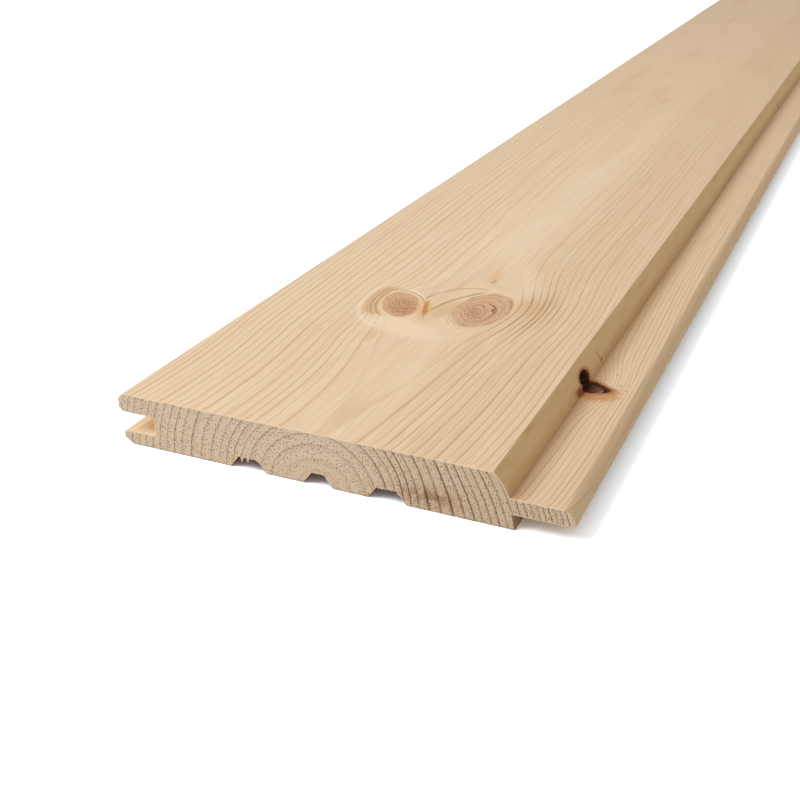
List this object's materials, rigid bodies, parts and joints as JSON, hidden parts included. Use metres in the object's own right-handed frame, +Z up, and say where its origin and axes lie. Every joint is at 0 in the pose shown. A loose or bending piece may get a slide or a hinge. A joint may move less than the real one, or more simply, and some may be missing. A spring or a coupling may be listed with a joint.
{
  "type": "tongue and groove board",
  "caption": "Planed softwood cladding board with a grooved edge, a long tongue beside a rounded face edge, and relief grooves along its back.",
  "frame": {"origin": "middle of the underside, halfway along the board and halfway across its overall width", "axes": "+Y along the grain, +X from the groove side to the tongue side, +Z up out of the face"},
  "size_m": [0.121, 2, 0.014],
  "materials": {
    "softwood": "planed and unfinished"
  },
  "bodies": {
    "root": {"board": "softwood"}
  },
  "joints": []
}
